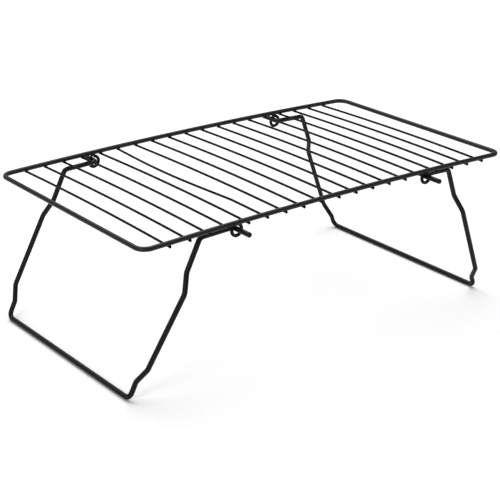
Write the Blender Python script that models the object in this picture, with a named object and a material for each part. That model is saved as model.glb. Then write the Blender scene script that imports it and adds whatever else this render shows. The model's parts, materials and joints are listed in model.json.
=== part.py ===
"""Folding cooling rack: a crowned wire deck carried by two fold-down wire legs.

X runs along the rack, Y across it and Z up. The origin is on the table, under the middle of the
rack, and every length is in metres. Each hinge is a wire ring welded to the inner side of a long
rim side: the end of a leg's wire passes through it, and the leg turns about that end. Open, the
arms of a leg bear up against a cross wire; folded, its foot lies under the deck.
"""
import math

import bmesh
import bpy
from mathutils import Matrix, Vector

# Deck: one rim wire, with cross wires welded under it
RIM_LENGTH = 0.406          # between the centre lines of the two short sides
RIM_WIDTH = 0.2143          # between the centre lines of the two long sides
RIM_WIRE = 0.0042           # wire diameter
RIM_CORNER = 0.0095         # bend radius of the corners
DECK_HEIGHT = 0.1371        # the rim's centre line above the table, at the short sides
CROWN = 0.0034              # how far the long sides' middle stands above their ends

CROSS_WIRE = 0.002
CROSS_COUNT = 19
CROSS_END_GAP = 0.0255      # from a short side to the first cross wire, between centre lines
CROSS_OVERHANG = 0.0005     # past the outer side of the rim wire
CROSS_BOW = 0.0014          # how far a cross wire's middle stands above its ends

# One cross wire has been pushed out of line, towards the left end
SPRUNG_WIRE = 6             # counted from the left
SPRUNG_SET = 0.0055         # sideways, at its widest
SPRUNG_SPAN = 0.78          # share of the deck's width that is out of line, from the back rim

# Hinge rings
HINGE_BAY = 4               # the bay between cross wires that holds a hinge, from the end inwards
RING_WIRE = 0.003
RING_RADIUS = 0.0050        # of the ring's centre line
RING_INSET = 0.0029         # from the centre line of the long rim side inwards to the ring's

# Legs: each is one wire, bent to a foot bar, two cranked sides, two arms and two hinge ends
LEG_WIRE = 0.0045
LEFT_SPLAY = math.radians(25.7)     # of the sides, from upright: this leg has been pulled out further
RIGHT_SPLAY = math.radians(21.9)
LEFT_FRONT_LEAN = 0.0088    # how far the left leg's front side is bent inwards at its lower end
LEFT_BACK_LEAN = -0.0030    # and its back side, which is bent outwards
ARM_PAST_STOP = 0.0236      # from the cross wire that stops an arm to the bend at its end
ARM_BEND = 0.005            # bend radius between arm and side
PIN_BEND = 0.0035           # bend radius between arm and hinge end
PIN_REACH = 0.0150          # of a hinge end, past the centre line of the long rim side
PIN_ROUNDING = 0.0010       # on the cut end of the wire
UPPER_CRANK_TOP = 0.030     # below the bend at the top of a side, along the side
UPPER_CRANK_LENGTH = 0.016
UPPER_CRANK_BEND = 0.010    # bend radius
LOWER_CRANK_TOP = 0.115     # below the bend at the top of a side, along the side
LOWER_CRANK_LENGTH = 0.0137
LOWER_CRANK_BEND = 0.005    # bend radius
FOOT_INSET = 0.008          # of the lowest part of a side, from the centre line of the long rim side
FOOT_CORNER = 0.006         # bend radius between side and foot bar

SEAT = 0.0003               # gap left between two pieces that touch or are welded

SIDES = 12                  # flats around a thick wire
THIN_SIDES = 8              # flats around a thin wire
RING_STEPS = 24             # segments around a hinge ring
BEND_STEP = math.radians(16)        # longest step round a bend
CROWN_STEPS = 5             # straight steps from the middle of a long side to its corner
BOW_STEPS = 12              # straight steps of a cross wire between the rims

# Places that follow from the sizes above
RIM_R = RIM_WIRE / 2
CROSS_R = CROSS_WIRE / 2
RING_R = RING_WIRE / 2
LEG_R = LEG_WIRE / 2
CROSS_PITCH = (RIM_LENGTH - 2 * CROSS_END_GAP) / (CROSS_COUNT - 1)
FIRST_CROSS_X = CROSS_END_GAP - RIM_LENGTH / 2
HINGE_X = RIM_LENGTH / 2 - CROSS_END_GAP - (HINGE_BAY - 0.5) * CROSS_PITCH
STOP_REACH = CROSS_PITCH / 2        # from a hinge to the cross wire that stops the arm
RING_Y = RIM_WIDTH / 2 - RING_INSET
ARM_Y = RING_Y - RING_R - SEAT - LEG_R
SHOULDER_Y = RIM_WIDTH / 2          # straight under the rim, so a stacked rack rests on it
FOOT_Y = RIM_WIDTH / 2 - FOOT_INSET


def deck_height(x):
    """Height of the rim's centre line at a place along the rack."""
    return DECK_HEIGHT + CROWN * (1 - (2 * x / RIM_LENGTH) ** 2)


def cross_height(x):
    """Height of the centre line of a cross wire's ends: welded under the rim."""
    return deck_height(x) - RIM_R - SEAT - CROSS_R


def cross_rise(y):
    """How far a cross wire stands above its ends at a place across the rack."""
    return CROSS_BOW * (1 - (2 * y / RIM_WIDTH) ** 2)


# The ring is welded to the lower inner side of the rim, and bears down on the pin in its top
RING_DROP = math.sqrt((RIM_R + SEAT + RING_R) ** 2 - RING_INSET ** 2)
RING_Z = deck_height(HINGE_X) - RING_DROP - RING_RADIUS
PIN_Z = RING_Z + RING_RADIUS - RING_R - LEG_R - SEAT
STOP_Z = cross_height(HINGE_X + STOP_REACH) + cross_rise(ARM_Y) - CROSS_R - SEAT - LEG_R


def coated(name, shade, roughness):
    """A black satin coating on steel wire."""
    material = bpy.data.materials.new(name)
    material.use_nodes = True
    shader = material.node_tree.nodes["Principled BSDF"]
    shader.inputs["Base Color"].default_value = (shade, shade, shade, 1)
    shader.inputs["Roughness"].default_value = roughness
    shader.inputs["Metallic"].default_value = 0.0
    return material


def add_object(name, bm, place, material):
    """Turn a finished bmesh into a smooth-shaded object at a place."""
    mesh = bpy.data.meshes.new(name)
    bm.to_mesh(mesh)
    bm.free()
    mesh.shade_smooth()
    mesh.set_sharp_from_angle(angle=math.radians(40))
    mesh.materials.append(material)
    item = bpy.data.objects.new(name, mesh)
    item.location = place
    bpy.context.scene.collection.objects.link(item)
    return item


def bend(before, corner, after, radius):
    """Points of an arc that rounds a corner between two straight runs."""
    into = (corner - before).normalized()
    out = (after - corner).normalized()
    turn = into.angle(out)
    steps = max(1, math.ceil(turn / BEND_STEP))
    start = corner - into * radius * math.tan(turn / 2)
    across = (out - into * out.dot(into)).normalized()
    arc = []
    for step in range(steps + 1):
        angle = turn * step / steps
        arc.append(start + radius * (into * math.sin(angle) + across * (1 - math.cos(angle))))
    return arc


def rounded_path(corners, radii):
    """A path through corner points, each inner corner rounded by its own bend radius."""
    points = [corners[0]]
    for index, radius in enumerate(radii, start=1):
        points += bend(corners[index - 1], corners[index], corners[index + 1], radius)
    points.append(corners[-1])
    return points


def sweep_wire(points, radius, sides):
    """Run a many-sided section along points, mitred at each, with a flat facing up at the start."""
    bm = bmesh.new()
    heading = (points[1] - points[0]).to_2d().angle_signed(Vector((0, 1)))
    upright = Matrix.Rotation(heading, 4, "Z") @ Matrix.Rotation(math.pi / 2, 4, "X")
    half_step = Matrix.Rotation(math.pi / sides, 4, "Z")
    bmesh.ops.create_circle(
        bm, segments=sides, radius=radius / math.cos(math.pi / sides),
        matrix=Matrix.Translation(points[0]) @ upright @ half_step)
    ring = bm.edges[:]
    for index in range(1, len(points)):
        run = (points[index] - points[index - 1]).normalized()
        after = points[min(index + 1, len(points) - 1)] - points[index]
        mitre = (run + after.normalized()).normalized()
        grown = bmesh.ops.extrude_edge_only(bm, edges=ring)["geom"]
        verts = {part for part in grown if isinstance(part, bmesh.types.BMVert)}
        ring = list({edge for vert in verts for edge in vert.link_edges if edge.other_vert(vert) in verts})
        for vert in verts:
            vert.co += run * (points[index] - vert.co).dot(mitre) / run.dot(mitre)
    return bm, ring


def cut_wire(points):
    """A length of cross wire along points, cut square at both ends."""
    bm, _ = sweep_wire(points, CROSS_R, THIN_SIDES)
    bmesh.ops.holes_fill(bm, edges=[edge for edge in bm.edges if edge.is_boundary], sides=0)
    bmesh.ops.recalc_face_normals(bm, faces=bm.faces)
    return bm


def mirror(item, *axes):
    """Complete an object from the part modelled on one side of its own origin."""
    modifier = item.modifiers.new("Mirror", "MIRROR")
    modifier.use_axis = ["X" in axes, "Y" in axes, False]
    modifier.merge_threshold = 0.0001


def build_rim(material):
    """The rim: one quarter is swept, and mirrored to the other three."""
    corner = Vector((RIM_LENGTH / 2, RIM_WIDTH / 2, 0))
    crown_step = (corner.x - RIM_CORNER) / CROWN_STEPS
    points = [Vector((crown_step * (step + 0.5), corner.y, 0)) for step in range(CROWN_STEPS)]
    points += bend(points[-1], corner, Vector((corner.x, 0, 0)), RIM_CORNER)
    points.append(Vector((corner.x, 0, 0)))
    for point in points:
        point.z = deck_height(point.x)
    points.insert(0, Vector((0, corner.y, points[0].z)))
    bm, _ = sweep_wire(points, RIM_R, SIDES)
    bmesh.ops.recalc_face_normals(bm, faces=bm.faces)
    rim = add_object("rim_wire", bm, (0, 0, 0), material)
    mirror(rim, "X", "Y")


def build_cross_wires(material):
    """The cross wires: copies of one, and one that has been pushed out of line."""
    bm = cut_wire(cross_points(0))
    first = add_object("cross_wire_01", bm, (FIRST_CROSS_X, 0, cross_height(FIRST_CROSS_X)), material)
    for number in range(2, CROSS_COUNT + 1):
        x = FIRST_CROSS_X + (number - 1) * CROSS_PITCH
        name = f"cross_wire_{number:02d}"
        place = (x, 0, cross_height(x))
        if number == SPRUNG_WIRE:
            add_object(name, cut_wire(cross_points(SPRUNG_SET)), place, material)
            continue
        copy = bpy.data.objects.new(name, first.data)
        copy.location = place
        bpy.context.scene.collection.objects.link(copy)


def cross_points(sideways):
    """Points along a cross wire from its front end to its back end, set sideways towards -X.

    The sideways set runs from nothing at the back rim through its widest place to nothing again
    before the front rim.
    """
    half = RIM_WIDTH / 2 + RIM_R + CROSS_OVERHANG
    points = [Vector((0, -half, 0))]
    for step in range(BOW_STEPS + 1):
        y = RIM_WIDTH * (step / BOW_STEPS - 0.5)
        share = (0.5 - y / RIM_WIDTH) / SPRUNG_SPAN
        x = -sideways * math.sin(math.pi * min(share, 1))
        points.append(Vector((x, y, cross_rise(y))))
    points.append(Vector((0, half, 0)))
    return points


def build_hinge_rings(material):
    """Four wire rings, on the inner sides of the long rim sides."""
    for end, side in ((-1, -1), (-1, 1), (1, -1), (1, 1)):
        name = f"{'front' if side < 0 else 'back'}_{'left' if end < 0 else 'right'}_hinge_ring"
        bpy.ops.mesh.primitive_torus_add(
            major_radius=RING_RADIUS, minor_radius=RING_R, major_segments=RING_STEPS,
            minor_segments=THIN_SIDES, location=(end * HINGE_X, side * RING_Y, RING_Z),
            rotation=(math.pi / 2, 0, 0))
        ring = bpy.context.object
        ring.name = name
        ring.data.name = name
        ring.data.materials.append(material)
        ring.data.shade_smooth()


def leg_corners(splay, lean):
    """Corner points of half a leg, from the middle of its foot bar to the tip of its hinge end.

    They are measured from the hinge axis, with the leg splayed towards +X. The lower end of the
    side stands inwards by its lean.
    """
    slope = (STOP_Z - PIN_Z) / STOP_REACH
    arm_reach = STOP_REACH + ARM_PAST_STOP
    top = Vector((arm_reach, 0, slope * arm_reach))
    down = Vector((math.sin(splay), 0, -math.cos(splay)))
    side = (PIN_Z + top.z - LEG_R) / math.cos(splay)

    def on_side(distance, y):
        return top + down * distance + Vector((0, y, 0))

    return [
        on_side(side, 0),
        on_side(side, FOOT_Y - lean),
        on_side(LOWER_CRANK_TOP + LOWER_CRANK_LENGTH, FOOT_Y - lean),
        on_side(LOWER_CRANK_TOP, SHOULDER_Y - lean),
        on_side(UPPER_CRANK_TOP + UPPER_CRANK_LENGTH, SHOULDER_Y),
        on_side(UPPER_CRANK_TOP, ARM_Y),
        on_side(0, ARM_Y),
        Vector((0, ARM_Y, 0)),
        Vector((0, RIM_WIDTH / 2 + PIN_REACH, 0)),
    ]


def half_leg(splay, lean):
    """The half of a leg at +Y, open at the middle of its foot bar."""
    radii = [FOOT_CORNER, LOWER_CRANK_BEND, LOWER_CRANK_BEND, UPPER_CRANK_BEND, UPPER_CRANK_BEND,
             ARM_BEND, PIN_BEND]
    bm, tip = sweep_wire(rounded_path(leg_corners(splay, lean), radii), LEG_R, SIDES)
    cap = bmesh.ops.holes_fill(bm, edges=tip, sides=0)["faces"]
    rim = list(cap[0].edges)
    bmesh.ops.bevel(bm, geom=rim, offset=PIN_ROUNDING, segments=2, profile=0.5, affect="EDGES")
    return bm


def build_leg(name, end, splay, front_lean, back_lean, material):
    """One leg, with its origin on its hinge axis: two halves joined at the middle of the foot bar.

    The left leg is turned half round, which brings its own +Y half to the front.
    """
    leans = (front_lean, back_lean) if end < 0 else (back_lean, front_lean)
    bm = half_leg(splay, leans[0])
    other = half_leg(splay, leans[1])
    bmesh.ops.scale(other, vec=(1, -1, 1), verts=other.verts)
    half = bpy.data.meshes.new(name + "_half")
    other.to_mesh(half)
    other.free()
    bm.from_mesh(half)
    bpy.data.meshes.remove(half)
    bmesh.ops.remove_doubles(bm, verts=bm.verts, dist=0.00001)
    bmesh.ops.recalc_face_normals(bm, faces=bm.faces)
    leg = add_object(name, bm, (end * HINGE_X, 0, PIN_Z), material)
    if end < 0:
        leg.rotation_euler.z = math.pi


def main():
    """Clear the scene and build the rack."""
    for item in list(bpy.data.objects):
        bpy.data.objects.remove(item)
    rim_black = coated("rim_black", 0.030, 0.42)
    cross_black = coated("cross_black", 0.022, 0.45)
    ring_black = coated("ring_black", 0.022, 0.45)
    leg_black = coated("leg_black", 0.026, 0.38)
    build_rim(rim_black)
    build_cross_wires(cross_black)
    build_hinge_rings(ring_black)
    build_leg("left_leg", -1, LEFT_SPLAY, LEFT_FRONT_LEAN, LEFT_BACK_LEAN, leg_black)
    build_leg("right_leg", 1, RIGHT_SPLAY, 0, 0, leg_black)


main()
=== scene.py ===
"""A folding cooling rack: a crowned wire deck on two fold-down wire legs, coated satin black.

X runs along the rack, Y across it and Z up, in metres. Each piece is made the way the real one is:
round wire is fed straight and bent round formers, its ends are dressed, and it is welded in place.
"""
import json
import logging
import math
from dataclasses import dataclass
from enum import Enum
from typing import Any

import bpy
from mathutils import Matrix, Vector


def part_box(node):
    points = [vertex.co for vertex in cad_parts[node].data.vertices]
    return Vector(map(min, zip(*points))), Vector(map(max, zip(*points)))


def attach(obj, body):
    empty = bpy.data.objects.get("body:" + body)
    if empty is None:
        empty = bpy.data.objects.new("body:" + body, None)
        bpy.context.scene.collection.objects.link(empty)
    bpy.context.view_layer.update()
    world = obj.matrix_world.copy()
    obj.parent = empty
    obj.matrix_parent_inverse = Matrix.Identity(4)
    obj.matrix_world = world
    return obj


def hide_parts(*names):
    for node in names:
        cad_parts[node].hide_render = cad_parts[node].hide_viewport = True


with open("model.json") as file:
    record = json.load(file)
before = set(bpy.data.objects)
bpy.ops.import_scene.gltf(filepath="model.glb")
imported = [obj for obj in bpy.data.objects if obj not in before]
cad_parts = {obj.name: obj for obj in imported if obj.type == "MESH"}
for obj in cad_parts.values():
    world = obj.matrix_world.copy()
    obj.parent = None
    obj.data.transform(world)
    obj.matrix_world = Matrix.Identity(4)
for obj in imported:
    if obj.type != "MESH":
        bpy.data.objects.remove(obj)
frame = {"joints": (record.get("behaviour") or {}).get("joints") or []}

LOG = logging.getLogger("cooling_rack")
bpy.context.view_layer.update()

WIRE_SIDES = 28             # around a rim or leg wire
THIN_WIRE_SIDES = 16        # around a cross wire or ring wire
BEND_STEP = math.radians(6)         # round a bend
RING_STEP = math.radians(9)         # round a ring
SMOOTH_ANGLE = math.radians(38)     # above which an edge stays crisp
DRESSING_STEPS = 4          # round the dressed edge of a cut end
SAME_POINT = 0.000002       # below which two points are one
SAME_RADIUS = 1e-9          # below which a wire's radius hasn't changed


class End(Enum):
    """The rack's two ends, by the direction of X that they lie in."""

    LEFT = -1
    RIGHT = 1


class Side(Enum):
    """The rack's two long sides, by the direction of Y that they lie in."""

    FRONT = -1
    BACK = 1


# ---------------------------------------------------------------- finishes


class Value:
    """A number that varies over a surface; arithmetic on it adds the Math nodes."""

    def __init__(self, graph: "Graph", socket: bpy.types.NodeSocket) -> None:
        """Wrap an output socket of a graph."""
        self.graph = graph
        self.socket = socket

    def _math(self, operation: str, first: Any, second: Any) -> "Value":
        """Join two values or numbers by one Math node."""
        node = self.graph.node("ShaderNodeMath", {"operation": operation}, {0: first, 1: second})
        return Value(self.graph, node.outputs[0])

    def __add__(self, other: Any) -> "Value":
        """self + other"""
        return self._math("ADD", self, other)

    def __radd__(self, other: Any) -> "Value":
        """other + self"""
        return self._math("ADD", other, self)

    def __sub__(self, other: Any) -> "Value":
        """self - other"""
        return self._math("SUBTRACT", self, other)

    def __rsub__(self, other: Any) -> "Value":
        """other - self"""
        return self._math("SUBTRACT", other, self)

    def __mul__(self, other: Any) -> "Value":
        """self * other"""
        return self._math("MULTIPLY", self, other)

    def __rmul__(self, other: Any) -> "Value":
        """other * self"""
        return self._math("MULTIPLY", other, self)


class Graph:
    """The node graph of one material."""

    def __init__(self, name: str) -> None:
        """Start a material that holds only its shader and its output."""
        self.material = bpy.data.materials.new(name)
        self.material.use_nodes = True
        self.shader = self.material.node_tree.nodes["Principled BSDF"]
        self.coordinates = self.node("ShaderNodeTexCoord", {}, {}).outputs["Object"]

    def node(self, kind: str, settings: dict[str, Any], inputs: dict[Any, Any]) -> bpy.types.Node:
        """Add a node.

        Args:
            kind: the node's type.
            settings: its own settings, made first.
            inputs: a number, colour, socket or Value for each input, by name or place.

        Returns:
            The new node.
        """
        made = self.material.node_tree.nodes.new(kind)
        for name, value in settings.items():
            setattr(made, name, value)
        for key, value in inputs.items():
            self.feed(made.inputs[key], value)
        return made

    def feed(self, target: bpy.types.NodeSocket, value: Any) -> None:
        """Give an input socket a constant, or a link where the value varies.

        Args:
            target: the input socket.
            value: a number, colour, socket or Value for it.
        """
        if isinstance(value, Value):
            value = value.socket
        if isinstance(value, bpy.types.NodeSocket):
            self.material.node_tree.links.new(value, target)
        else:
            target.default_value = value

    def noise(self, per_metre: float, detail: float, roughness: float = 0.5) -> Value:
        """Noise that is fixed to the piece, from 0 to 1.

        Args:
            per_metre: how many of its cells lie along a metre.
            detail: octaves of finer noise in it.
            roughness: how strong each finer octave is.

        Returns:
            The noise as a value.
        """
        made = self.node("ShaderNodeTexNoise", {}, {
            "Vector": self.coordinates, "Scale": per_metre, "Detail": detail, "Roughness": roughness})
        return Value(self, made.outputs[0])

    def between(self, share: Value, dark: tuple, light: tuple) -> bpy.types.NodeSocket:
        """The colour a share of the way from a dark one to a light one."""
        made = self.node("ShaderNodeMix", {"data_type": "RGBA"}, {0: share, 6: (*dark, 1), 7: (*light, 1)})
        return made.outputs[2]


@dataclass(frozen=True)
class SatinCoat:
    """A black satin coating, baked on over steel wire."""

    slot: str                               # the record's material slot
    # the coat's base colour; main gives each piece's copy of the one coating its own shade, lighter or
    # darker, as painted highlight and painted shade
    shade: tuple[float, float, float]
    roughness: float
    gloss: float = 0.25                     # specular level
    mottle: float = 0.28                    # how far the shade wanders, as a share of it
    peel_depth: float = 0.00007             # of the orange-peel surface
    peel_per_metre: float = 1100.0
    cloud_per_metre: float = 60.0           # of the slow wander in shade and gloss
    drips_per_metre: float = 130.0          # where the coating has run a little thicker

    def material(self) -> bpy.types.Material:
        """Make the coating's material.

        Returns:
            The material, new for each call.
        """
        graph = Graph(f"{self.slot}_coat")
        cloud = graph.noise(self.cloud_per_metre, 3.0)
        drips = graph.noise(self.drips_per_metre, 2.0, 0.6)
        peel = graph.noise(self.peel_per_metre, 2.0, 0.55)
        dark = tuple(channel * (1 - self.mottle) for channel in self.shade)
        light = tuple(channel * (1 + self.mottle) for channel in self.shade)
        graph.feed(graph.shader.inputs["Base Color"], graph.between(cloud * 0.6 + peel * 0.4, dark, light))
        graph.feed(graph.shader.inputs["Roughness"], self.roughness - 0.10 + 0.12 * cloud + 0.08 * peel)
        bump = graph.node("ShaderNodeBump", {}, {
            "Strength": 0.35, "Distance": self.peel_depth, "Height": peel + drips * 1.5})
        graph.feed(graph.shader.inputs["Normal"], bump.outputs[0])
        graph.feed(graph.shader.inputs["Specular IOR Level"], self.gloss)
        return graph.material


# ---------------------------------------------------------------- workshop


def deselect_all() -> None:
    """Leave nothing selected."""
    bpy.ops.object.select_all(action="DESELECT")


def select_only(item: bpy.types.Object) -> None:
    """Select one object and make it the active one."""
    deselect_all()
    item.select_set(True)
    bpy.context.view_layer.objects.active = item


def close_and_smooth(item: bpy.types.Object) -> None:
    """Merge doubled points, turn the faces outwards and shade the round surfaces smooth.

    Args:
        item: the piece to finish.
    """
    select_only(item)
    bpy.ops.object.mode_set(mode="EDIT")
    bpy.ops.mesh.select_all(action="SELECT")
    bpy.ops.mesh.remove_doubles(threshold=SAME_POINT)
    bpy.ops.mesh.normals_make_consistent(inside=False)
    bpy.ops.object.mode_set(mode="OBJECT")
    bpy.ops.object.shade_smooth_by_angle(angle=SMOOTH_ANGLE)


def mirror_over(item: bpy.types.Object, *axes: str) -> None:
    """Complete a piece that was modelled on one side of the rack's middle.

    Args:
        item: the piece to complete.
        axes: the axes across which it is mirrored.
    """
    select_only(item)
    modifier = item.modifiers.new("Mirror", "MIRROR")
    modifier.use_axis = tuple(axis in axes for axis in "XYZ")
    modifier.merge_threshold = 0.000005
    bpy.ops.object.modifier_apply(modifier=modifier.name)


def copy_of(item: bpy.types.Object, name: str, offset: Vector) -> bpy.types.Object:
    """Copy a finished piece, with its own mesh, to another place.

    Args:
        item: the piece to copy.
        name: the copy's name.
        offset: from the piece to the copy.

    Returns:
        The copy, with its place in its mesh.
    """
    select_only(item)
    bpy.ops.object.duplicate(linked=False)
    copy = bpy.context.object
    copy.location = offset
    bpy.ops.object.transform_apply(location=True, rotation=True, scale=True)
    copy.name = name
    copy.data.name = name
    return copy


class WireBender:
    """A length of round wire in the making: fed straight, bent round formers, and cut."""

    def __init__(self, name: str, start: Vector, heading: Vector, radius: float, sides: int,
                 dressing: float | None = None) -> None:
        """Take hold of the wire's first end.

        Args:
            name: the piece's name.
            start: the centre of the first end.
            heading: the direction in which the wire is fed.
            radius: of the wire.
            sides: around the wire.
            dressing: the rounding on the first end, or None to leave it open for its mirror image.
        """
        self.tip = start.copy()
        self.heading = heading.normalized()
        self.radius = radius if dressing is None else radius - dressing
        self.open_end = dressing is None
        deselect_all()
        bpy.ops.mesh.primitive_circle_add(
            vertices=sides, radius=self.radius, location=start,
            fill_type="NOTHING" if self.open_end else "NGON",
            rotation=self.heading.to_track_quat("Z", "Y").to_euler())
        self.item = bpy.context.object
        self.item.name = name
        self.item.data.name = name
        bpy.ops.object.transform_apply(location=True, rotation=True, scale=True)
        bpy.ops.object.mode_set(mode="EDIT")
        bpy.ops.mesh.select_all(action="SELECT")
        if dressing is not None:
            for step in range(DRESSING_STEPS, 0, -1):
                outer, inner = self._dressing_arc(step - 1), self._dressing_arc(step)
                self.draw(self.heading * dressing * (inner[0] - outer[0]),
                          radius - dressing * (1 - outer[1]))

    @staticmethod
    def _dressing_arc(step: int) -> tuple[float, float]:
        """How far along and how far out the dressed edge is, as shares of its rounding."""
        angle = math.pi / 2 * step / DRESSING_STEPS
        return math.sin(angle), math.cos(angle)

    def draw(self, step: Vector, radius: float | None = None) -> None:
        """Extend the wire by a step.

        Args:
            step: from the wire's tip to its new one.
            radius: the wire's radius at the new tip, or None to keep the one that it has.
        """
        bpy.ops.mesh.extrude_region_move(TRANSFORM_OT_translate={"value": step})
        self.tip += step
        if radius is not None and abs(radius - self.radius) > SAME_RADIUS:
            factor = radius / self.radius
            bpy.ops.transform.resize(value=(factor, factor, factor), center_override=self.tip)
            self.radius = radius

    def feed(self, length: float) -> None:
        """Feed the wire straight on."""
        self.draw(self.heading * length)

    def bend(self, towards: Vector, former: float, angle: float, step: float = BEND_STEP) -> None:
        """Bend the wire round a former.

        Args:
            towards: a direction on the inner side of the bend.
            former: the bend radius of the wire's centre line.
            angle: how far it is bent.
            step: the longest step round the bend.
        """
        across = (towards - self.heading * towards.dot(self.heading)).normalized()
        centre = self.tip + across * former
        axis = self.heading.cross(across)
        bpy.ops.mesh.spin(steps=max(2, math.ceil(angle / step)), angle=-angle, center=centre, axis=axis)
        along = self.heading
        self.tip = centre + former * (along * math.sin(angle) - across * math.cos(angle))
        self.heading = along * math.cos(angle) + across * math.sin(angle)

    def follow(self, corners: list[Vector], formers: list[float]) -> None:
        """Run through corner points, with a bend at each inner one, up to the last one.

        Args:
            corners: the corners after the wire's start, and the place where the run ends.
            formers: the bend radius at each corner but the last.
        """
        for corner, after, former in zip(corners, corners[1:], formers):
            onward = (after - corner).normalized()
            angle = self.heading.angle(onward)
            self.feed((corner - self.tip).length - former * math.tan(angle / 2))
            self.bend(onward, former, angle)

    def dress_end(self, dressing: float) -> None:
        """Round the edge of the cut end.

        Args:
            dressing: the rounding's radius.
        """
        full = self.radius
        for step in range(1, DRESSING_STEPS + 1):
            before, here = self._dressing_arc(step - 1), self._dressing_arc(step)
            self.draw(self.heading * dressing * (here[0] - before[0]), full - dressing * (1 - here[1]))
        if self.open_end:
            bpy.ops.mesh.edge_face_add()

    def finish(self, *mirror_axes: str) -> bpy.types.Object:
        """Take the piece off the bender, completed by its mirror image where axes are given.

        Args:
            mirror_axes: the axes across which it is mirrored, if any.

        Returns:
            The finished piece.
        """
        bpy.ops.object.mode_set(mode="OBJECT")
        if mirror_axes:
            mirror_over(self.item, *mirror_axes)
        close_and_smooth(self.item)
        return self.item


def hand_over(item: bpy.types.Object, body: str, finish: bpy.types.Material,
              stands_for: str | None) -> None:
    """Give a finished piece its coating, its body and the CAD node that it stands for, and report it.

    Args:
        item: the finished piece.
        body: the body that it moves with.
        finish: its material.
        stands_for: the CAD node that it replaces, or None where it only adds to the rack.
    """
    item.data.materials.clear()
    item.data.materials.append(finish)
    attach(item, body)
    if stands_for is None:
        LOG.info("%s: %d faces", item.name, len(item.data.polygons))
        return
    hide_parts(stands_for)
    low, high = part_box(stands_for)
    corners = [Vector(corner) for corner in item.bound_box]
    apart = max(
        max(abs(min(corner[axis] for corner in corners) - low[axis]),
            abs(max(corner[axis] for corner in corners) - high[axis])) for axis in range(3))
    LOG.info("%s: %d faces, %.2f mm off its CAD box", item.name, len(item.data.polygons), apart * 1000)


# ---------------------------------------------------------------- the deck


@dataclass
class Rim:
    """The rim of the deck: one thick wire, bent round four corners and butt welded."""

    coat: SatinCoat
    wire: float = 0.0042
    corner: float = 0.0095          # bend radius
    crown_steps: int = 24           # along half a side

    def __post_init__(self) -> None:
        """Read the rim's size and place from its CAD node."""
        low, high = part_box("rim_wire")
        self.half_length = (high.x - low.x - self.wire) / 2
        self.half_width = (high.y - low.y - self.wire) / 2
        self.end_height = low.z + self.wire / 2
        self.crown = high.z - self.wire / 2 - self.end_height

    def height(self, x: float) -> float:
        """Height of the rim's centre line at a place along the rack."""
        return self.end_height + self.crown * (1 - (x / self.half_length) ** 2)

    def build(self) -> bpy.types.Object:
        """Bend a quarter of the rim, and mirror it to the other three.

        Returns:
            The rim.
        """
        fall = 2 * self.crown / (self.half_length + self.corner)
        sweep = (self.half_length - self.corner * math.cos(fall)) / math.sin(fall)
        start = Vector((0, self.half_width, self.height(0)))
        bender = WireBender("rim", start, Vector((1, 0, 0)), self.wire / 2, WIRE_SIDES)
        bender.bend(Vector((0, 0, -1)), sweep, fall, fall / self.crown_steps)
        bender.bend(Vector((0, -1, 0)), self.corner, math.pi / 2)
        bender.feed(bender.tip.y)
        rim = bender.finish("X", "Y")
        hand_over(rim, "rack", self.coat.material(), "rim_wire")
        return rim


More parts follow.
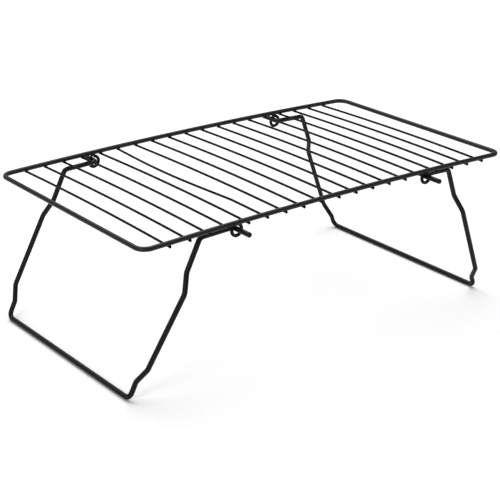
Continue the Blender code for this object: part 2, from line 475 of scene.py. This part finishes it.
@dataclass
class CrossWires:
    """The thin wires across the deck, pressed and welded into the underside of the rim."""

    coat: SatinCoat
    rim: Rim
    count: int = 19
    wire: float = 0.002
    coating: float = 0.000075       # thickness of the coat over the bare wire
    pressed_up: float = 0.00055     # by the welding, from where a loose wire would lie
    bow: float = 0.0014             # how far the middle stands above the ends
    end_bead: float = 0.00022       # how far the coating swells the cut ends
    end_reach: float = 0.0005       # of a cut end past the rim's outer side
    end_rounding: float = 0.8       # of a cut end, as a share of its radius
    bow_steps: int = 14
    sprung: int = 6                 # the wire that has been pushed out of line
    sprung_set: float = 0.0055
    sprung_span: float = 0.78       # share of the deck's width that is out of line, from the back

    @property
    def radius(self) -> float:
        """Radius of a wire with its coat."""
        return self.wire / 2 + self.coating

    def node(self, number: int) -> str:
        """The CAD node of a wire."""
        return f"cross_wire_{number:02d}"

    def end_height(self, number: int) -> float:
        """Height of a wire's centre line at its ends."""
        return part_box(self.node(number))[0].z + self.wire / 2 + self.pressed_up

    def place(self, number: int) -> Vector:
        """The middle of a wire's two ends."""
        low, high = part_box(self.node(number))
        x = high.x - self.wire / 2 if number == self.sprung else (low.x + high.x) / 2
        return Vector((x, 0, self.end_height(number)))

    def rise(self, y: float) -> float:
        """How far a wire stands above its ends at a place across the rack."""
        return self.bow * (1 - (y / self.rim.half_width) ** 2)

    def set_aside(self, y: float) -> float:
        """How far the sprung wire is out of line at a place across the rack."""
        share = (0.5 - y / (2 * self.rim.half_width)) / self.sprung_span
        return -self.sprung_set * math.sin(math.pi * min(share, 1.0))

    @property
    def swollen(self) -> float:
        """Radius of a wire's cut end."""
        return self.radius + self.end_bead

    def cut(self, bender: WireBender) -> None:
        """Swell the coating towards the wire's last end, and round it.

        Args:
            bender: holds the wire, which has come as far as the rim's centre line.
        """
        half = Vector((0, (self.rim.wire / 2 + self.end_reach - self.swollen) / 2, 0))
        bender.draw(half, self.radius)
        bender.draw(half, self.swollen)
        bender.dress_end(self.swollen * self.end_rounding)

    def build_straight(self) -> bpy.types.Object:
        """Bow the back half of the first wire, and mirror it to the front.

        Returns:
            The first wire.
        """
        place = self.place(1)
        bender = WireBender(
            "cross_01", place + Vector((0, 0, self.bow)), Vector((0, 1, 0)), self.radius, THIN_WIRE_SIDES)
        for step in range(1, self.bow_steps + 1):
            y = self.rim.half_width * step / self.bow_steps
            bender.draw(place + Vector((0, y, self.rise(y))) - bender.tip)
        self.cut(bender)
        return bender.finish("Y")

    def build_sprung(self) -> bpy.types.Object:
        """Follow the wire that is out of line from its front end to its back end.

        Returns:
            The wire.
        """
        place = self.place(self.sprung)
        dressing = self.swollen * self.end_rounding
        reach = self.rim.half_width + self.rim.wire / 2 + self.end_reach
        bender = WireBender(
            f"cross_{self.sprung:02d}", place - Vector((0, reach + dressing - self.swollen, 0)),
            Vector((0, 1, 0)), self.swollen, THIN_WIRE_SIDES, dressing)
        bender.draw(Vector((0, (-self.rim.half_width - bender.tip.y) / 2, 0)), self.radius)
        steps = 2 * self.bow_steps
        for step in range(steps + 1):
            y = self.rim.half_width * (2 * step / steps - 1)
            bender.draw(place + Vector((self.set_aside(y), y, self.rise(y))) - bender.tip)
        self.cut(bender)
        return bender.finish()

    def build(self) -> None:
        """Make the wires: copies of one, and the one that is out of line."""
        finish = self.coat.material()
        first = self.build_straight()
        for number in range(1, self.count + 1):
            if number == 1:
                wire = first
            elif number == self.sprung:
                wire = self.build_sprung()
            else:
                wire = copy_of(first, f"cross_{number:02d}", self.place(number) - self.place(1))
            hand_over(wire, "rack", finish, self.node(number))


@dataclass
class WeldBeads:
    """The metal and coating that fill the corners where a cross wire or a ring meets the rim."""

    coat: SatinCoat
    rim: Rim
    cross_wires: CrossWires
    length: float = 0.0032          # across the rim
    width: float = 0.0029           # along the rim
    depth: float = 0.0019
    below_rim: float = 0.0002       # of a bead's middle, under the rim's lowest line
    end_zone: float = 0.4           # past this share of its length, a bead is drawn in
    drawn_in: tuple[float, float, float] = (0.62, 1.0, 0.70)

    def build_bead(self, name: str, place: Vector, size: Vector) -> bpy.types.Object:
        """Shape one bead: a soft lump, drawn in at its ends where it runs out along the wire.

        Args:
            name: its name.
            place: its middle.
            size: its length along each axis.

        Returns:
            The bead.
        """
        deselect_all()
        bpy.ops.mesh.primitive_cube_add(size=1.0, location=place, scale=size)
        bead = bpy.context.object
        bead.name = name
        bead.data.name = name
        bpy.ops.object.transform_apply(location=True, rotation=True, scale=True)
        bpy.ops.object.mode_set(mode="EDIT")
        bpy.ops.mesh.select_all(action="SELECT")
        bpy.ops.mesh.subdivide(number_cuts=2, smoothness=0.0)
        bpy.ops.object.mode_set(mode="OBJECT")
        for vertex in bead.data.vertices:
            vertex.select = abs(vertex.co.y - place.y) > size.y * self.end_zone
        for edge in bead.data.edges:
            edge.select = all(bead.data.vertices[index].select for index in edge.vertices)
        for face in bead.data.polygons:
            face.select = all(bead.data.vertices[index].select for index in face.vertices)
        bpy.ops.object.mode_set(mode="EDIT")
        bpy.ops.transform.resize(value=self.drawn_in, center_override=place)
        bpy.ops.object.mode_set(mode="OBJECT")
        rounding = bead.modifiers.new("Rounding", "SUBSURF")
        rounding.levels = rounding.render_levels = 2
        bpy.ops.object.modifier_apply(modifier=rounding.name)
        close_and_smooth(bead)
        return bead

    def build(self) -> None:
        """Put a bead at each crossing of a cross wire and the rim."""
        finish = self.coat.material()
        first, first_place = None, Vector()
        for side in Side:
            for number in range(1, self.cross_wires.count + 1):
                wire = self.cross_wires.place(number)
                y = side.value * self.rim.half_width
                place = Vector((wire.x, y, self.rim.height(wire.x) - self.rim.wire / 2 - self.below_rim))
                name = f"{side.name.lower()}_weld_{number:02d}"
                if first is None:
                    first = self.build_bead(name, place, Vector((self.width, self.length, self.depth)))
                    first_place, bead = place, first
                else:
                    bead = copy_of(first, name, place - first_place)
                hand_over(bead, "rack", finish, None)


@dataclass
class HingeRings:
    """Four wire rings, welded to the inner sides of the long rim sides."""

    coat: SatinCoat
    rim: Rim
    wire: float = 0.003
    butt: float = math.radians(9)       # left open where the ring's ends meet, inside the weld
    dressing: float = 0.15              # rounding on the cut ends, as a share of the wire
    weld: tuple[float, float, float] = (0.0044, 0.0034, 0.0030)

    def build(self, welds: WeldBeads) -> None:
        """Bend one ring, copy it to the other three hinges, and weld each to the rim.

        Args:
            welds: shapes the beads.
        """
        finish = self.coat.material()
        first, first_place = None, Vector()
        for end in End:
            for side in Side:
                position = f"{side.name.lower()}_{end.name.lower()}"
                node = f"{position}_hinge_ring"
                low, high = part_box(node)
                place = (low + high) / 2
                if first is None:
                    first = self._ring(f"{position}_ring", place, (high.x - low.x - self.wire) / 2)
                    first_place, ring = place, first
                else:
                    ring = copy_of(first, f"{position}_ring", place - first_place)
                hand_over(ring, "rack", finish, node)
                top = Vector((place.x, place.y, high.z - self.wire / 2))
                rim_side = Vector((place.x, side.value * self.rim.half_width, self.rim.height(place.x)))
                weld = welds.build_bead(
                    f"{position}_ring_weld", (top + rim_side) / 2, Vector(self.weld))
                hand_over(weld, "rack", finish, None)

    def _ring(self, name: str, centre: Vector, radius: float) -> bpy.types.Object:
        """Bend a ring whose ends meet at its top.

        Args:
            name: its name.
            centre: of the ring.
            radius: of its centre line.

        Returns:
            The ring.
        """
        dressing = self.wire * self.dressing
        half = self.butt / 2
        start = centre + radius * Vector((math.sin(half), 0, math.cos(half)))
        heading = Vector((math.cos(half), 0, -math.sin(half)))
        bender = WireBender(name, start, heading, self.wire / 2, THIN_WIRE_SIDES, dressing)
        bender.bend(
            centre - bender.tip, radius, 2 * math.pi - self.butt - 4 * dressing / radius, RING_STEP)
        bender.dress_end(dressing)
        return bender.finish()


# ---------------------------------------------------------------- the legs


@dataclass
class Leg:
    """A fold-down leg: one wire with a foot bar, two cranked sides, two arms and two hinge ends."""

    end: End
    coat: SatinCoat
    rim: Rim
    splay: float                        # of its sides, from upright
    front_lean: float = 0.0             # how far a side is bent inwards at its lower end
    back_lean: float = 0.0
    wire: float = 0.0045
    arm_reach: float = 0.033461         # from the hinge axis to the top of a side
    arm_drop: float = 0.001022          # of the top of a side below the hinge axis
    arm_bend: float = 0.005             # bend radii
    hinge_bend: float = 0.0035
    upper_crank_bend: float = 0.010
    lower_crank_bend: float = 0.005
    foot_bend: float = 0.006
    upper_crank_top: float = 0.030      # along a side, from its top
    upper_crank_length: float = 0.016
    lower_crank_top: float = 0.115
    lower_crank_length: float = 0.0137
    foot_inset: float = 0.008           # of a side's lowest part, from the rim's centre line
    running_gap: float = 0.0003         # between an arm and its ring
    dressing: float = 0.0010            # rounding on the cut ends

    def __post_init__(self) -> None:
        """Read the hinge axis and the places across the rack from the frame."""
        name = f"{self.end.name.lower()}_leg"
        joint = next(joint for joint in frame["joints"] if joint["child"] == name)
        self.body = name
        self.hinge = Vector(joint["pos_m"])
        low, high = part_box(name)
        self.hinge_end_y = high.y
        ring_low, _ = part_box(f"back_{self.end.name.lower()}_hinge_ring")
        self.arm_y = ring_low.y - self.running_gap - self.wire / 2
        self.shoulder_y = self.rim.half_width
        self.foot_y = self.rim.half_width - self.foot_inset

    def half_corners(self, side: Side, lean: float) -> list[Vector]:
        """Corner points of half the leg.

        Args:
            side: the long side of the rack that the half is on.
            lean: how far its side is bent inwards at its lower end.

        Returns:
            The corners, from the foot bar's end to the tip of the hinge end.
        """
        outward = Vector((self.end.value, 0, 0))
        top = Vector((self.hinge.x, 0, self.hinge.z)) + outward * self.arm_reach
        top.z -= self.arm_drop
        down = outward * math.sin(self.splay) - Vector((0, 0, math.cos(self.splay)))
        length = (top.z - self.wire / 2) / math.cos(self.splay)

        def on_side(distance: float, y: float) -> Vector:
            """A point on the leg's side, at a distance from its top."""
            return top + down * distance + Vector((0, side.value * y, 0))

        return [
            on_side(length, self.foot_y - lean),
            on_side(self.lower_crank_top + self.lower_crank_length, self.foot_y - lean),
            on_side(self.lower_crank_top, self.shoulder_y - lean),
            on_side(self.upper_crank_top + self.upper_crank_length, self.shoulder_y),
            on_side(self.upper_crank_top, self.arm_y),
            on_side(0.0, self.arm_y),
            Vector((self.hinge.x, side.value * self.arm_y, self.hinge.z)),
            Vector((self.hinge.x, side.value * self.hinge_end_y, self.hinge.z)),
        ]

    def build(self) -> bpy.types.Object:
        """Bend the leg from its front hinge end, round its foot bar, to its back hinge end.

        Returns:
            The leg.
        """
        corners = self.half_corners(Side.FRONT, self.front_lean)[::-1]
        corners += self.half_corners(Side.BACK, self.back_lean)
        formers = [self.foot_bend, self.lower_crank_bend, self.lower_crank_bend, self.upper_crank_bend,
                   self.upper_crank_bend, self.arm_bend, self.hinge_bend]
        bender = WireBender(
            f"{self.end.name.lower()}_leg_wire", corners[0], Vector((0, 1, 0)), self.wire / 2, WIRE_SIDES,
            self.dressing)
        bender.follow(corners[1:], formers[::-1] + formers)
        bender.feed((corners[-1] - bender.tip).length - self.dressing)
        bender.dress_end(self.dressing)
        leg = bender.finish()
        hand_over(leg, self.body, self.coat.material(), self.body)
        return leg


# ---------------------------------------------------------------- the studio


@dataclass(frozen=True)
class Viewpoint:
    """The camera: a long lens, looking down at the rack over its front left corner."""

    azimuth: float = 0.6503         # of its line of sight, from +Y towards +X
    elevation: float = 0.3933       # how steeply it looks down
    roll: float = 0.0105
    distance: float = 1.14315       # to its target
    target: tuple[float, float, float] = (-0.11225, -0.04822, 0.0971)
    lens: float = 97.728            # mm
    sensor: float = 36.0            # mm wide
    shift_x: float = 0.11995
    shift_y: float = -0.00170

    def build(self) -> None:
        """Set up the scene's camera."""
        forward = Vector((
            math.sin(self.azimuth) * math.cos(self.elevation),
            math.cos(self.azimuth) * math.cos(self.elevation),
            -math.sin(self.elevation)))
        right = forward.cross(Vector((0, 0, 1))).normalized()
        up = right.cross(forward)
        rolled_right = math.cos(self.roll) * right + math.sin(self.roll) * up
        rolled_up = math.cos(self.roll) * up - math.sin(self.roll) * right
        stand = Matrix((rolled_right, rolled_up, -forward)).transposed().to_4x4()
        stand.translation = Vector(self.target) - forward * self.distance
        lens = bpy.data.cameras.new("camera")
        lens.lens, lens.sensor_width = self.lens, self.sensor
        lens.shift_x, lens.shift_y = self.shift_x, self.shift_y
        lens.clip_start = 0.01
        camera = bpy.data.objects.new("camera", lens)
        camera.matrix_world = stand
        bpy.context.scene.collection.objects.link(camera)
        bpy.context.scene.camera = camera


@dataclass(frozen=True)
class Studio:
    """A plain white table under soft light."""

    floor_size: float = 8.0
    floor_drop: float = 0.0002      # of the floor under the feet
    floor_white: float = 0.92
    surround: float = 0.30          # brightness of the room
    softboxes: tuple = (
        # name, place, size, watts
        ("overhead", (0.35, 0.75, 2.0), 2.3, 56.0),
        ("left_fill", (-1.8, -0.7, 1.0), 0.7, 13.0),
    )

    def build(self) -> None:
        """Lay the table, light it and set how the picture is developed."""
        deselect_all()
        bpy.ops.mesh.primitive_plane_add(size=self.floor_size, location=(0, 0, -self.floor_drop))
        floor = bpy.context.object
        floor.name = "floor"
        graph = Graph("white_table")
        white = self.floor_white
        wander = graph.noise(2.0, 1.0)
        graph.feed(graph.shader.inputs["Base Color"],
                   graph.between(wander, (white - 0.01,) * 3, (white,) * 3))
        graph.feed(graph.shader.inputs["Roughness"], 0.9)
        graph.feed(graph.shader.inputs["Specular IOR Level"], 0.1)
        floor.data.materials.append(graph.material)
        for name, place, size, watts in self.softboxes:
            lamp = bpy.data.lights.new(name, "AREA")
            lamp.shape, lamp.size, lamp.energy = "SQUARE", size, watts
            stand = bpy.data.objects.new(name, lamp)
            stand.location = place
            stand.rotation_euler = (Vector((0, 0, 0.1)) - Vector(place)).to_track_quat("-Z", "Y").to_euler()
            bpy.context.scene.collection.objects.link(stand)
        world = bpy.data.worlds.new("room")
        world.use_nodes = True
        world.node_tree.nodes["Background"].inputs[0].default_value = (1, 1, 1, 1)
        world.node_tree.nodes["Background"].inputs[1].default_value = self.surround
        bpy.context.scene.world = world
        bpy.context.scene.view_settings.view_transform = "Standard"


# ---------------------------------------------------------------- the whole


def main() -> None:
    """Build the rack, then the studio round it."""
    logging.basicConfig(level=logging.INFO, format="%(name)s %(message)s")
    # Painted highlight: the rim's coat is given a lighter shade than the other copies of the same black
    # coating, standing in for the light that the thick rim catches
    rim = Rim(SatinCoat("rim_black", (0.012, 0.012, 0.012), 0.40, gloss=0.22))
    rim.build()
    # Painted shade: the cross wires' coat is given a darker shade than the rim's, though it is the same
    # coating, standing in for how little light the thin wires catch
    cross_wires = CrossWires(SatinCoat("cross_black", (0.003, 0.003, 0.003), 0.46, gloss=0.10), rim)
    cross_wires.build()
    # Painted shade: the rings' and weld beads' coat is given the same darker shade as the cross wires,
    # though it is the same coating as the rim
    ring_coat = SatinCoat("ring_black", (0.003, 0.003, 0.003), 0.45, gloss=0.12)
    welds = WeldBeads(ring_coat, rim, cross_wires)
    welds.build()
    HingeRings(ring_coat, rim).build(welds)
    # The leg coat's shade lies between the rim's painted highlight and the cross wires' painted shade
    leg_coat = SatinCoat("leg_black", (0.0055, 0.0055, 0.0047), 0.38, gloss=0.16)
    Leg(End.LEFT, leg_coat, rim, math.radians(25.7), front_lean=0.0088, back_lean=-0.0030).build()
    Leg(End.RIGHT, leg_coat, rim, math.radians(21.9)).build()
    Viewpoint().build()
    Studio().build()


if __name__ == "__main__":
    main()
